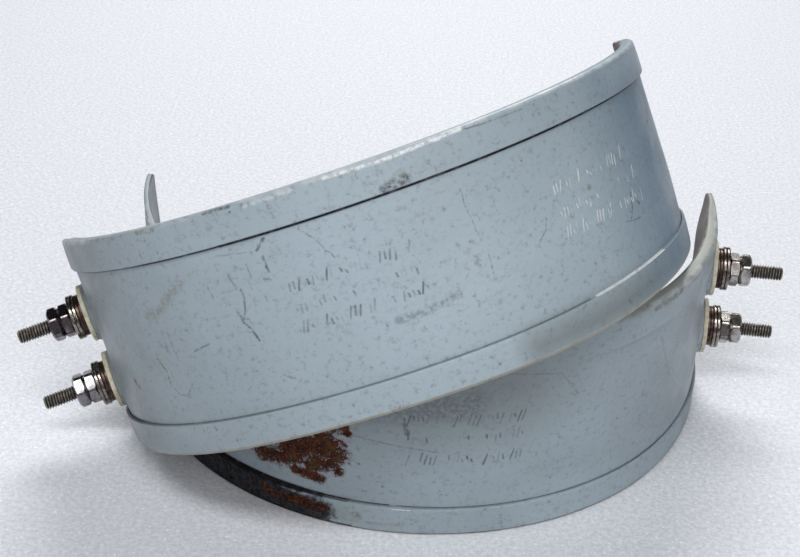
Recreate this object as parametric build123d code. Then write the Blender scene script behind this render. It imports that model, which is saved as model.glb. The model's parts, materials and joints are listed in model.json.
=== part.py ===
from build123d import *
from math import degrees
import os

# A two-piece mica band heater for a machine barrel of 160 mm diameter, 60 mm wide.
# The two halves are the same part. The lower one stands on its rim, and the upper one
# lies tilted across it, its terminal end on the ground.
#
# Frame of the whole object: the lower half's barrel axis is +Z, the ground is z = 0.
# Frame of one half: the barrel axis is Z, the middle of its arc points to -Y, and the
# terminals are near the end at -X. Angles run from -Y towards +X.

# ---- driving dimensions, mm and degrees ----
barrel_radius = 80.0        # the clamp face, inside of the half
band_width = 60.0
half_arc = 179.5            # the halves leave a small gap on the barrel
sheet = 0.8                 # steel sheet of the sheath and the cover
ply_gap = 0.05              # clearance between the plies
mica_sheet = 0.3
ribbon_thickness = 0.1
core_sheet = 0.4
lip_width = 8.65            # the sheath's edge, folded back over the cover
fold_radius = 1.2           # outside of the sheath's folds
lip_edge_radius = 0.3
cover_inset = 0.4           # the cover's turned-in end, from the end of the sheath
cover_bend = 0.6

core_width = 26.0           # one of two core strips side by side
core_margin = 2.5           # from the band's edge to a core strip
ribbon_width = 4.0
ribbon_pitch = 12.5         # one turn round the core, along the arc
end_margin = 3.0            # from the end of the half to the mica

terminal_inset = 9.2        # stud axis from the end of the half, along the outside
terminal_spacing = 20.0
terminal_height = 27.5      # middle of the pair, from the band's edge
boss_diameter = 17.0
boss_rise = 1.4             # over the cover's outside

stud_diameter = 4.166       # No. 8 thread, its free end at the outside diameter
shank_diameter = 3.65       # its pitch diameter, inside the nuts and washers
shank_past_nut = 0.3        # the shank shows this far past the outer nut
stud_tip_radius = 104.6     # from the barrel axis
stud_tip_chamfer = 0.5
stud_head_diameter = 8.0
stud_head_height = 0.6
bushing_flange_diameter = 11.0
bushing_flange_height = 0.45
bushing_diameter = 6.0
bushing_bore = 4.4
bushing_recess = 0.2        # from the bushing's end to the mica washer's face
hole_clearance = 0.1
washer_bore = 4.5
nut_bore = 4.27
mica_washer_diameter = 16.3
mica_washer_height = 1.5
seat_washer_diameter = 11.0
steel_washer_diameter = 12.7
steel_washer_height = 1.0
nut_across_flats = 8.73
nut_height = 3.2
nut_chamfer = 0.35
part_gap = 0.02             # between faces that slide or turn on each other
tab_thickness = 0.12
tab_width = 5.0
tab_reach = 6.1             # from the stud axis to the ribbon's first turn
tab_leg = 1.2               # the tab's leg through the mica, along the arc
slot_clearance = 0.5        # beside the leg in the mica's slot, each way

# rest angles of the two nuts about their stud, for each terminal
nut_turns = {"lower_a": (8, 20), "lower_b": (14, 2), "upper_a": (24, 10), "upper_b": (5, 5)}

# ---- places of the two halves ----
lower_turn = 1.35           # about the barrel axis
upper_lean = 28.4           # lean of the upper half's axis from the vertical
upper_heading = 139.72      # heading of that lean, from +X towards +Y
upper_turn = -131.09        # turn of the upper half about its own axis
upper_place = (-2.5, -24.9, 25.89)

# ---- derived radii of the plies, from the barrel outwards ----
sheath_outer = barrel_radius + sheet
inner_mica_inner = sheath_outer + ply_gap
inner_mica_outer = inner_mica_inner + mica_sheet
ribbon_inner = inner_mica_outer + ply_gap
core_inner = ribbon_inner + ribbon_thickness + ply_gap
core_outer = core_inner + core_sheet
ribbon_outer = core_outer + ply_gap + ribbon_thickness
outer_mica_inner = ribbon_outer + ply_gap
outer_mica_outer = outer_mica_inner + mica_sheet
cover_inner = outer_mica_outer + ply_gap
cover_outer = cover_inner + sheet
lip_inner = cover_outer + ply_gap
lip_outer = lip_inner + sheet
boss_face = cover_outer + boss_rise
band_middle = band_width / 2
half_end = half_arc / 2
stud_angle = -half_end + degrees(terminal_inset / lip_outer)
terminal_heights = {
    "a": terminal_height + terminal_spacing / 2,
    "b": terminal_height - terminal_spacing / 2,
}

# ---- stack of one terminal, as distances from the barrel axis along the stud ----
bushing_top = boss_face + mica_washer_height - bushing_recess
bushing_flange_top = boss_face - sheet - ply_gap
stud_head_top = bushing_flange_top - bushing_flange_height - ply_gap
mica_washer_top = boss_face + mica_washer_height
seat_washer_top = mica_washer_top + steel_washer_height
flat_washer_top = seat_washer_top + steel_washer_height
clamp_washer_top = flat_washer_top + steel_washer_height
inner_nut_top = clamp_washer_top + nut_height
outer_nut_top = inner_nut_top + nut_height


def along_arc(length, radius):
    """Angle of a length measured along an arc of this radius."""
    return degrees(length / radius)


def ring_face(inner, outer, start, stop):
    """Flat ring sector in the XY plane, between two angles of the half's frame."""
    outside = CenterArc((0, 0), outer, start - 90, stop - start)
    inside = CenterArc((0, 0), inner, start - 90, stop - start)
    ends = [Line(outside @ 0, inside @ 0), Line(outside @ 1, inside @ 1)]
    return make_face([outside, inside] + ends)


def ring_block(inner, outer, start, stop, low, high):
    """Curved block of a ring sector between two heights."""
    return Pos(0, 0, low) * extrude(ring_face(inner, outer, start, stop), high - low)


def at_terminal(height):
    """Frame on a stud's axis: its origin on the barrel axis, its Z outwards."""
    return Pos(0, 0, height) * Rot(Z=stud_angle) * Plane.XZ.location


def disc(diameter, low, high, bore=0.0):
    """Round plate about the stud's axis, between two distances from the barrel axis."""
    face = Circle(diameter / 2)
    if bore:
        face -= Circle(bore / 2)
    return Pos(0, 0, low) * extrude(face, high - low)


# ---- the shell ----
def make_sheath():
    """Inner sheet with both long edges folded out and back over the cover."""
    depth = lip_outer - barrel_radius
    middle = barrel_radius + depth / 2
    profile = Pos(middle, band_middle) * RectangleRounded(depth, band_width, fold_radius)
    profile -= Pos(middle, band_middle) * Rectangle(depth - 2 * sheet, band_width - 2 * sheet)
    opening = band_width - 2 * lip_width
    profile -= Pos(lip_outer, band_middle) * Rectangle(2 * sheet + ply_gap, opening)
    lip_edges = [v for v in profile.vertices() if abs(abs(v.Y - band_middle) - opening / 2) < 0.01]
    profile = fillet([v for v in lip_edges if v.X > lip_inner - 0.01], lip_edge_radius)
    return Rot(Z=-half_end - 90) * revolve(Plane.XZ * profile, Axis.Z, half_arc)


def make_cover():
    """Outer sheet with turned-in ends, and a raised boss with a hole at each terminal."""
    end = half_end - along_arc(cover_inset, cover_outer)
    flange = along_arc(sheet, cover_outer)
    profile = ring_face(cover_inner, cover_outer, -end, end)
    profile += ring_face(inner_mica_inner, cover_outer, -end, flange - end)
    profile += ring_face(inner_mica_inner, cover_outer, end - flange, end)
    corners = [v for v in profile.vertices() if (v.X**2 + v.Y**2) ** 0.5 > cover_outer - 0.01]
    profile = fillet(corners, cover_bend)
    low = sheet + ply_gap
    cover = Pos(0, 0, low) * extrude(profile, band_width - 2 * low)
    cavity_diameter = boss_diameter - 2 * sheet
    for height in terminal_heights.values():
        place = at_terminal(height)
        cover += place * disc(boss_diameter, cover_inner + sheet / 2, boss_face)
        cover -= place * disc(cavity_diameter, cover_inner - sheet, boss_face - sheet)
        cover -= place * disc(bushing_diameter + 2 * hole_clearance, cover_inner, boss_face + sheet)
    return cover


# ---- the heating pack ----
def make_mica(inner, outer):
    end = half_end - along_arc(end_margin, inner)
    edge = sheet + 2 * ply_gap
    return ring_block(inner, outer, -end, end, edge, band_width - edge)


def tab_angles(clearance=0.0):
    """Angle range of the tab's leg through the mica, or of its slot."""
    middle = stud_angle + along_arc(tab_reach, ribbon_outer)
    half = along_arc(tab_leg / 2 + clearance, ribbon_outer)
    return middle - half, middle + half


def make_outer_mica():
    """Outer mica with a slot for each lead tab."""
    mica = make_mica(outer_mica_inner, outer_mica_outer)
    start, stop = tab_angles(slot_clearance)
    half_slot = tab_width / 2 + slot_clearance
    for height in terminal_heights.values():
        low, high = height - half_slot, height + half_slot
        mica -= ring_block(core_inner, boss_face, start, stop, low, high)
    return mica


def core_span(row):
    """Lowest and highest edge of a core strip: row a is the upper one."""
    low = core_margin if row == "b" else band_width - core_margin - core_width
    return low, low + core_width


def make_core(row):
    end = half_end - along_arc(end_margin, core_inner)
    return ring_block(core_inner, core_outer, -end, end, *core_span(row))


def ribbon_pass(inner, outer, middle, low, high):
    """One straight pass of the ribbon across a core strip."""
    half_width = along_arc(ribbon_width / 2, ribbon_outer)
    return ring_block(inner, outer, middle - half_width, middle + half_width, low, high)


def ribbon_fold(start, stop, low):
    """The ribbon's fold over a strip's edge, from one pass to the next."""
    half_width = along_arc(ribbon_width / 2, ribbon_outer)
    first, last = start - half_width, stop + half_width
    return ring_block(ribbon_inner, ribbon_outer, first, last, low, low + ribbon_thickness)


def make_ribbon():
    """One ribbon wound out along strip a and back along strip b.

    Each turn is a pass outside the strip, a pass inside it half a pitch on, and the
    two folds over the strip's edges that join them.
    """
    first = stud_angle + along_arc(tab_reach, ribbon_outer)
    pitch = along_arc(ribbon_pitch, ribbon_outer)
    last_possible = half_end - along_arc(end_margin + ribbon_width / 2, core_inner)
    turns = int((last_possible - first) / pitch)
    inner_face = ribbon_inner + ribbon_thickness
    outer_face = ribbon_outer - ribbon_thickness
    wrap = ply_gap + ribbon_thickness
    blocks = []
    for row in terminal_heights:
        low, high = core_span(row)
        low, high = low - wrap, high + wrap
        folds = (high - ribbon_thickness, low)
        outside_fold, middle_fold = folds if row == "a" else reversed(folds)
        for turn in range(turns + 1):
            here = first + turn * pitch
            blocks.append(ribbon_pass(outer_face, ribbon_outer, here, low, high))
        for turn in range(turns):
            here = first + turn * pitch
            back, ahead = here + pitch / 2, here + pitch
            blocks.append(ribbon_pass(ribbon_inner, inner_face, back, low, high))
            blocks.append(ribbon_fold(here, back, outside_fold))
            blocks.append(ribbon_fold(back, ahead, middle_fold))
    end = first + turns * pitch
    low, high = core_span("b")[1], core_span("a")[0]
    blocks.append(ribbon_pass(outer_face, ribbon_outer, end, low, high))
    return blocks[0].fuse(*blocks[1:])


def make_tab(height):
    """Strip from under the stud's head, through the mica, to the ribbon's end."""
    start, stop = tab_angles()
    low, high = height - tab_width / 2, height + tab_width / 2
    face = outer_mica_outer + ply_gap
    top = face + tab_thickness
    tail = stud_angle - along_arc(tab_width / 2, face)
    strip = ring_block(face, top, tail, stop, low, high)
    leg = ring_block(ribbon_outer + ply_gap / 2, top, start, stop, low, high)
    return strip + leg


# ---- one terminal, about the stud's axis ----
def make_stud():
    head = disc(stud_head_diameter, stud_head_top - stud_head_height, stud_head_top)
    shank_top = outer_nut_top + shank_past_nut
    shank = disc(shank_diameter, stud_head_top, shank_top)
    free_end = disc(stud_diameter, shank_top, stud_tip_radius)
    free_end = chamfer(free_end.edges().sort_by(Axis.Z)[-1], stud_tip_chamfer)
    return head + shank + free_end


def make_bushing():
    flange_low = bushing_flange_top - bushing_flange_height
    flange = disc(bushing_flange_diameter, flange_low, bushing_flange_top, bushing_bore)
    return flange + disc(bushing_diameter, bushing_flange_top, bushing_top, bushing_bore)


def make_nut(low, high, turn):
    """Hexagon nut, its corners rounded off by a cone at both faces."""
    corner_radius = nut_across_flats / 3**0.5
    prism = Rot(Z=turn) * extrude(RegularPolygon(corner_radius, 6), high - low)
    blank = extrude(Circle(corner_radius), high - low)
    blank = chamfer(blank.edges().filter_by(GeomType.CIRCLE), nut_chamfer, 2 * nut_chamfer)
    nut = Pos(0, 0, low) * (prism & blank)
    return nut - disc(nut_bore, low - 1, high + 1)


def make_terminal(height, turns):
    """All pieces of one terminal, in the half's frame."""
    mica_bore = bushing_diameter + 2 * hole_clearance
    wide, narrow = steel_washer_diameter, seat_washer_diameter
    mica_face = mica_washer_top - part_gap
    seat_face = seat_washer_top - part_gap
    flat_face = flat_washer_top - part_gap
    clamp_face = clamp_washer_top - part_gap
    pieces = {
        "stud": make_stud(),
        "bushing": make_bushing(),
        "mica_washer": disc(mica_washer_diameter, boss_face, mica_face, mica_bore),
        "seat_washer": disc(narrow, mica_washer_top, seat_face, washer_bore),
        "flat_washer": disc(wide, seat_washer_top, flat_face, washer_bore),
        "clamp_washer": disc(wide, flat_washer_top, clamp_face, washer_bore),
        "inner_nut": make_nut(clamp_washer_top, inner_nut_top - part_gap, turns[0]),
        "outer_nut": make_nut(inner_nut_top, outer_nut_top, turns[1]),
    }
    return {name: at_terminal(height) * piece for name, piece in pieces.items()}


def make_half(half):
    """Every piece of one half, in the half's own frame, by node name without the half."""
    pieces = {
        "sheath": make_sheath(),
        "cover": make_cover(),
        "inner_mica": make_mica(inner_mica_inner, inner_mica_outer),
        "outer_mica": make_outer_mica(),
        "core_strip_a": make_core("a"),
        "core_strip_b": make_core("b"),
        "resistance_ribbon": make_ribbon(),
    }
    for letter, height in terminal_heights.items():
        pieces["lead_tab_" + letter] = make_tab(height)
        for name, piece in make_terminal(height, nut_turns[half + "_" + letter]).items():
            pieces[name + "_" + letter] = piece
    return pieces


# the lower half is turned over end for end, so that its terminals are at +X
lower_location = Rot(Z=lower_turn) * Pos(0, 0, band_width) * Rot(Y=180)
upper_location = Pos(*upper_place) * Rot(Z=upper_heading) * Rot(Y=upper_lean) * Rot(Z=upper_turn)
half_locations = {"lower": lower_location, "upper": upper_location}


def main():
    os.makedirs("parts", exist_ok=True)
    for half, location in half_locations.items():
        for name, piece in make_half(half).items():
            export_step(location * piece, os.path.join("parts", half + "_" + name + ".step"))


if __name__ == "__main__":
    main()
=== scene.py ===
"""A two-piece mica band heater: painted steel shells, mica, and threaded terminals."""
import json
import math
import bmesh
import bpy
import numpy as np
from mathutils import Matrix, Vector, noise


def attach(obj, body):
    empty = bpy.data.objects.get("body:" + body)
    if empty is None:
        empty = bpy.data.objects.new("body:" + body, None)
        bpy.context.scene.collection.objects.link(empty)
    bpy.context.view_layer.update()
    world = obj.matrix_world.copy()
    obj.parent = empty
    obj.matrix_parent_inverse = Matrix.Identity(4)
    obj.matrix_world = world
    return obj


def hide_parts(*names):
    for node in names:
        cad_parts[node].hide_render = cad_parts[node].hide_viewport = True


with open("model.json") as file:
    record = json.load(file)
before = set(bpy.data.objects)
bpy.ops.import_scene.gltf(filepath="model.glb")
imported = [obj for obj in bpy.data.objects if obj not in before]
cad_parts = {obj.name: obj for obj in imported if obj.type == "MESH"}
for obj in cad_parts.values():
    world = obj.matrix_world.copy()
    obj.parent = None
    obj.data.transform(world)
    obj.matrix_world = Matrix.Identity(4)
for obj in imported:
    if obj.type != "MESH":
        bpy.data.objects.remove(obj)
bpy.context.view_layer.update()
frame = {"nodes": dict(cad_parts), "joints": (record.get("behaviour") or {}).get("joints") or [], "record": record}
record = frame["record"]
joints = {joint["name"]: joint for joint in frame["joints"]}
mounts = {mount["name"]: mount for mount in record["mounts"]}

MM = 0.001
HALVES = ("lower", "upper")
LETTERS = ("a", "b")

# ---- sizes in millimetres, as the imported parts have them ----
BARREL = mounts["lower_clamp_face"]["dims"]["r_mm"]
WIDTH = mounts["lower_clamp_face"]["dims"]["length_mm"]
ARC = 179.5
SHEET = 0.8
LIP_INNER = 83.15
LIP_OUTER = 83.95
LIP_WIDTH = 8.65
FOLD_RADIUS = 1.2
COVER_INNER = 82.3
COVER_OUTER = 83.1
COVER_EDGE = 0.85
COVER_INSET = 0.4
COVER_BEND = 0.6
FLANGE_FOOT = 80.95
INSET = 9.2
STUD_HEIGHTS = {"a": 37.5, "b": 17.5}
BOSS_FACE = 83.95
STUD_RADIUS = 2.083
THREAD_PITCH = 0.794
THREAD_DEPTH = 0.47
MICA_RADIUS = 8.15
MICA_BORE = 3.1
SEAT_RADIUS = 5.9
WASHER_RADIUS = 6.35
WASHER_BORE = 2.25
WASHER_EDGE = 0.28
MICA_TOP = 85.25
SEAT_TOP = 87.0
FLAT_TOP = 88.0
CLAMP_TOP = 89.0
NUT_HEIGHT = 3.2
NUT_FLATS = 8.73
NUT_BORE = 2.12
NUT_FACE = 0.9              # the flat face's radius as a share of half the width over flats
NUT_CHAMFER = 35.0          # degrees
NUT_CORNER_LOSS = 0.22
STUD_TIP = 104.6
FACE_GAP = 0.02
ARC_START = -math.degrees(INSET / LIP_OUTER)
ARC_STOP = ARC_START + ARC
ARC_LENGTH = math.radians(ARC) * LIP_OUTER
ARC_POINTS = 361            # points along the arc of a shell

# ---- how the used shells differ from new ones, in millimetres ----
PINCH_REACH = 13.0          # along the edge, from each end
CORNER = 2.2                # radius of the shell's four corners
CORNER_REACH = 8.0          # how far from the ends their rounding moves the shell
LIP_LIFT = 0.22             # the lips' free edges off the cover
# Share of the edge's thickness lost at the terminals' end and at the other end
PINCH = {"lower": (0.1, 0.05), "upper": (0.42, 0.42)}
# Bent places, strongest in the middle and gone at the reach: (middle along the arc as a
# share of it, middle height, reach along, reach across, outward shift of the inner face,
# of the outer face, length added at the end, inner face's drop towards the band's middle,
# outer face's drop)
BENDS = {
    "lower": [
        (1, 0.0, 120, 90, -0.3, -1.5, 0, 0, 0),
        (1, 0.0, 18, 20, 0.2, 0, 4.6, 0, 0),
        (1, 0.0, 18, 7, 0, 1.2, 0, 0, 0),
        (1, 0.0, 40, 20, 1.2, 0, 0, 0, 0),
        (1, 22.0, 40, 24, -0.9, 0, 0, 0, 0),
        (1, 14.0, 40, 24, 0, -1.2, 0, 0, 0),
        (0, 0.0, 26, 14, 0.3, -0.9, 0, 0, 0),
        (0, 0.0, 15, 14, 1.8, 1.2, 0, 0, 0),
        (0, 0.0, 24, 20, 0, 0, 5.8, 0, 0),
    ],
    "upper": [
        (0, WIDTH, 16, 8, 1.7, 0, 0, 0, 0),
        (0, WIDTH, 12, 8, 0, 0, 0, 1.3, 1.3),
        (0, WIDTH, 30, 8, 0, 0, 0, 2.6, 0.5),
        (1, WIDTH, 14, 16, 0, 0, 2.5, 0, 0),
        (1, WIDTH, 9, 8, 0, 0, 0, 0.3, 1.2),
        (1, WIDTH, 110, 40, 0, 0, 0, -0.9, -0.9),
        (1, 0.0, 110, 26, -0.3, -0.9, 0, 2.5, 2.5),
        (0.43, 0.0, 80, 18, 0, 0, 0, 1.4, 1.4),
    ],
}


# ---- frames of the two halves ----
def half_matrix(half):
    """The half's frame: Z along its barrel axis, X along its studs, origin at its edge."""
    outward = Vector(joints[half + "_nuts_a_turn"]["axis"])
    stud_a, stud_b = (Vector(mounts[f"{half}_stud_{letter}_end"]["pos_m"]) for letter in LETTERS)
    across = (stud_a - stud_b).normalized()
    centre = Vector(mounts[half + "_clamp_face"]["pos_m"])
    origin = centre + across * ((stud_b - centre).dot(across) - STUD_HEIGHTS["b"] * MM)
    matrix = Matrix((outward, across.cross(outward), across)).transposed().to_4x4()
    matrix.translation = origin
    return matrix


FRAMES = {half: half_matrix(half) for half in HALVES}


def on_arc(radius, angle, height):
    """Point of a half's frame, its angle in degrees from the studs."""
    turn = math.radians(angle)
    return (radius * math.cos(turn), radius * math.sin(turn), height)


# ---- mesh helpers ----
def add_object(name, data):
    thing = bpy.data.objects.new(name, data)
    bpy.context.scene.collection.objects.link(thing)
    return thing


def make_object(name, points, faces, half, body, smooth_angle=35.0, layers=None):
    """A mesh given in the half's frame, in millimetres, put in place and made to ride.

    layers holds two numbers for each point by name, for the materials: surface_mm is
    along and across the surface, and section_mm is a depth in the piece's section.
    """
    matrix = np.array(FRAMES[half])
    points = np.asarray(points, float) * MM @ matrix[:3, :3].T + matrix[:3, 3]
    mesh = bpy.data.meshes.new(name)
    mesh.from_pydata(points.tolist(), [], faces)
    mesh.update()
    corners = np.zeros(len(mesh.loops), np.int32)
    mesh.loops.foreach_get("vertex_index", corners)
    for layer_name, values in (layers or {}).items():
        layer = mesh.uv_layers.new(name=layer_name)
        layer.data.foreach_set("uv", np.asarray(values, np.float32)[corners].ravel())
    mesh.shade_smooth()
    mesh.set_sharp_from_angle(angle=math.radians(smooth_angle))
    piece = add_object(name, mesh)
    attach(piece, body)
    return piece


def grid_faces(rows, columns, wrap_rows=False, wrap_columns=False):
    """Quads over a grid of points stored row after row."""
    faces = []
    for i in range(rows if wrap_rows else rows - 1):
        for j in range(columns if wrap_columns else columns - 1):
            i2, j2 = (i + 1) % rows, (j + 1) % columns
            faces.append((i * columns + j, i * columns + j2, i2 * columns + j2, i2 * columns + j))
    return faces


def tube_faces(rows, columns):
    """Faces of a closed tube: quads over its rows, and a cap on each end."""
    last = (rows - 1) * columns
    caps = [tuple(range(columns))[::-1], tuple(range(last, last + columns))]
    return grid_faces(rows, columns, wrap_columns=True) + caps


def arc_points(centre, radius, start, stop, count):
    """Points of a plane arc, ends included."""
    turns = np.radians(np.linspace(start, stop, count))
    return [(centre[0] + radius * math.cos(t), centre[1] + radius * math.sin(t)) for t in turns]


def densify(outline, step):
    """A closed outline with points no further apart than step."""
    points = []
    for here, ahead in zip(outline, outline[1:] + outline[:1]):
        pieces = max(1, math.ceil(math.dist(here, ahead) / step))
        for k in range(pieces):
            share = k / pieces
            points.append((here[0] + (ahead[0] - here[0]) * share, here[1] + (ahead[1] - here[1]) * share))
    return points


def dent(angle, height, seed):
    """Slight waviness of the rolled sheet, in millimetres outwards."""
    turn = math.radians(angle)
    place = Vector((3.2 * math.cos(turn), 3.2 * math.sin(turn), height / 26 + seed * 7.3))
    fine = Vector((9 * math.cos(turn), 9 * math.sin(turn), height / 9 + seed * 3.1))
    return 0.1 * noise.noise(place) + 0.03 * noise.noise(fine)


# ---- shells ----
def from_end(angle):
    """Millimetres along the outside from the nearer end of the half."""
    return math.radians(min(angle - ARC_START, ARC_STOP - angle)) * LIP_OUTER


def rim_share(height):
    """1 on both long edges, falling to 0 at the lips' edges."""
    return max(0.0, 1 - min(height, WIDTH - height) / LIP_WIDTH)


def smooth(share):
    share = min(1.0, max(0.0, share))
    return share * share * (3 - 2 * share)


def shell_point(half, radius, angle, height):
    """A point of the rolled shell with its dents, bent places, pinched ends and rounded corners."""
    end = from_end(angle)
    at_start = angle < (ARC_START + ARC_STOP) / 2
    depth = (radius - BARREL) / (LIP_OUTER - BARREL)
    pinch = PINCH[half][0 if at_start else 1] * smooth(1 - end / PINCH_REACH)
    pinch *= smooth(rim_share(height) * 1.6)
    radius = BARREL + (radius - BARREL) * (1 - pinch)
    edge = CORNER - min(CORNER, height, WIDTH - height)
    inset = (CORNER - math.sqrt(CORNER**2 - edge**2)) * smooth(1 - end / CORNER_REACH)
    rise = 0.0
    from_start = math.radians(angle - ARC_START) * LIP_OUTER
    for share_along, middle, along, across, inner, outer, added, inner_drop, outer_drop in BENDS[half]:
        away = abs(from_start - share_along * ARC_LENGTH)
        share = smooth(1 - away / along) * smooth(1 - abs(height - middle) / across)
        radius += share * (inner + (outer - inner) * depth)
        inset -= share * added
        inwards = 1 if middle < WIDTH / 2 else -1
        rise += inwards * share * (inner_drop + (outer_drop - inner_drop) * depth)
    radius += dent(angle, height, HALVES.index(half))
    turn = math.degrees(inset / LIP_OUTER)
    return on_arc(radius, angle + (turn if at_start else -turn), height + rise)


def lip_lift(angle, height, seed):
    """How far the lip's free edge stands off the cover, unevenly along the arc."""
    turn = math.radians(angle)
    place = Vector((2.5 * math.cos(turn), 2.5 * math.sin(turn), seed * 5.7 + (height > WIDTH / 2)))
    lift = LIP_LIFT * (0.6 + 0.8 * noise.noise(place))
    return lift * smooth(1.5 - 1.5 * rim_share(height)) * smooth(from_end(angle) / 10)


def shell_layers(places):
    """The materials' layers for (radius, angle, height) places: see make_object."""
    surface = [(math.radians(angle - ARC_START) * LIP_OUTER, height) for _, angle, height in places]
    return {"surface_mm": surface, "section_mm": [(radius - BARREL, 0) for radius, _, _ in places]}


def sheath_outline():
    """Section of the folded sheet: (radius, height) points, closed."""
    edge = 0.3
    lip = [(LIP_INNER, LIP_WIDTH)]
    lip += arc_points((LIP_OUTER - edge, LIP_WIDTH - edge), edge, 90, 0, 5)
    fold = arc_points((LIP_OUTER - FOLD_RADIUS, FOLD_RADIUS), FOLD_RADIUS, 0, -90, 9)
    fold += arc_points((BARREL + FOLD_RADIUS, FOLD_RADIUS), FOLD_RADIUS, -90, -180, 9)
    lower = lip + fold
    upper = [(radius, WIDTH - height) for radius, height in reversed(lower)]
    cave = [
        (LIP_INNER, WIDTH - SHEET),
        (BARREL + SHEET, WIDTH - SHEET),
        (BARREL + SHEET, SHEET),
        (LIP_INNER, SHEET),
    ]
    return densify(lower + upper + cave, 1.2)


def make_sheath(half, seed):
    outline = sheath_outline()
    angles = np.linspace(ARC_START, ARC_STOP, ARC_POINTS)
    places = [(radius, angle, height) for angle in angles for radius, height in outline]
    points = []
    for radius, angle, height in places:
        lift = lip_lift(angle, height, seed) if radius > COVER_OUTER else 0.0
        points.append(shell_point(half, radius + lift, angle, height))
    faces = tube_faces(len(angles), len(outline))
    layers = shell_layers(places)
    return make_object(half + "_folded_sheath", points, faces, half, half + "_half", 40, layers)


def cover_bend(end, direction):
    """The cover's rounded corner at one end, from its flange out to its outside."""
    bend = math.degrees(COVER_BEND / COVER_OUTER)
    corner = []
    for turn in np.radians(np.linspace(0, 90, 7)):
        radius = COVER_OUTER - COVER_BEND * (1 - math.sin(turn))
        corner.append((radius, end + direction * bend * (1 - math.cos(turn))))
    return corner


def cover_outline():
    """Section of the cover across the barrel axis: (radius, angle) points, closed."""
    inset = math.degrees(COVER_INSET / COVER_OUTER)
    start, stop = ARC_START + inset, ARC_STOP - inset
    flange = math.degrees(SHEET / COVER_OUTER)
    first, last = cover_bend(start, 1), cover_bend(stop, -1)[::-1]
    outside = np.linspace(first[-1][1], last[0][1], ARC_POINTS - 2)[1:-1]
    outline = first + [(COVER_OUTER, angle) for angle in outside] + last
    outline += [(FLANGE_FOOT, stop), (FLANGE_FOOT, stop - flange)]
    inside = np.linspace(stop - flange, start + flange, ARC_POINTS - 2)
    outline += [(COVER_INNER, angle) for angle in inside]
    outline += [(FLANGE_FOOT, start + flange), (FLANGE_FOOT, start)]
    return outline


def make_cover(half):
    outline = cover_outline()
    heights = np.linspace(COVER_EDGE, WIDTH - COVER_EDGE, 59)
    places = [(radius, angle, height) for height in heights for radius, angle in outline]
    points = [shell_point(half, *place) for place in places]
    layers = shell_layers(places)
    faces = [face[::-1] for face in tube_faces(len(heights), len(outline))]
    for letter in LETTERS:
        boss_points, boss_faces, boss_surface = boss_mesh(STUD_HEIGHTS[letter], len(points))
        points += boss_points
        faces += boss_faces
        layers["surface_mm"] += boss_surface
        layers["section_mm"] += [(COVER_OUTER - BARREL, 0)] * len(boss_points)
    return make_object(half + "_pressed_cover", points, faces, half, half + "_half", 40, layers)


def boss_mesh(height, offset):
    """A pressed boss, flat on top, its wall curving into the cover: a closed body."""
    rings = [(2.4, 1.0), (6.5, 1.0), (7.7, 1.0), (7.95, 0.97), (8.12, 0.88), (8.24, 0.72), (8.34, 0.45)]
    rings += [(8.45, 0.2), (8.6, 0.06), (8.78, -0.04), (8.78, -0.25), (2.4, -0.25)]
    segments = 72
    points, uvs = [], []
    for reach, rise in rings:
        for k in range(segments):
            turn = 2 * math.pi * k / segments
            side, up = reach * math.sin(turn), reach * math.cos(turn)
            surface = math.sqrt(COVER_OUTER**2 - side**2)
            points.append((surface + (BOSS_FACE - surface) * rise, side, height + up))
            uvs.append((INSET + side, height + up))
    faces = grid_faces(len(rings), segments, wrap_rows=True, wrap_columns=True)
    return points, [tuple(offset + k for k in face) for face in faces], uvs


def make_bent_ply(half, node):
    """A copy of a ply between the shells that follows their dents and bent places."""
    flat = frame["nodes"][f"{half}_{node}"]
    mesh = bmesh.new()
    mesh.from_mesh(flat.data)
    mesh.transform(Matrix.Scale(1 / MM, 4) @ FRAMES[half].inverted() @ flat.matrix_world)
    for height in range(3, int(WIDTH), 3):
        everything = mesh.verts[:] + mesh.edges[:] + mesh.faces[:]
        bmesh.ops.bisect_plane(mesh, geom=everything, plane_co=(0, 0, height), plane_no=(0, 0, 1))
    mesh.verts.index_update()
    points = []
    for vertex in mesh.verts:
        angle = math.degrees(math.atan2(vertex.co.y, vertex.co.x))
        points.append(shell_point(half, math.hypot(vertex.co.x, vertex.co.y), angle, vertex.co.z))
    faces = [[vertex.index for vertex in face.verts] for face in mesh.faces]
    mesh.free()
    return make_object(f"{half}_bent_{node}", points, faces, half, half + "_half")


# ---- terminals: everything turned about the stud's axis ----
def turned(name, half, letter, body, outline, segments=64, smooth_angle=35.0):
    """A closed ring: (distance from the stud's axis, distance from the barrel axis) points."""
    height = STUD_HEIGHTS[letter]
    points, surface, section = [], [], []
    for reach, out in outline:
        for k in range(segments):
            turn = 2 * math.pi * k / segments
            points.append((out, reach * math.sin(turn), height + reach * math.cos(turn)))
            surface.append((turn * reach, out))
            section.append((reach, out - outline[0][1]))
    faces = grid_faces(len(outline), segments, wrap_rows=True, wrap_columns=True)
    layers = {"surface_mm": surface, "section_mm": section}
    return make_object(name, points, faces, half, body, smooth_angle, layers)


def ring_outline(inner, outer, low, high, edge):
    """Section of a washer with rounded outer edges and slightly broken inner ones."""
    outline = [(inner, low + edge / 2), (inner + edge / 2, low)]
    outline += arc_points((outer - edge, low + edge), edge, -90, 0, 6)
    outline += arc_points((outer - edge, high - edge), edge, 0, 90, 6)
    return outline + [(inner + edge / 2, high), (inner, high - edge / 2)]


def thread_depth(phase):
    """Share of the full depth at a phase of one pitch: flat crest, flanks, narrow root."""
    crest, root = 0.14, 0.12
    flank = (1 - crest - root) / 2
    phase = phase % 1.0
    if phase < crest:
        return 0.0
    if phase < crest + flank:
        return (phase - crest) / flank
    if phase < crest + flank + root:
        return 1.0
    return (1.0 - phase) / flank


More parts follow.
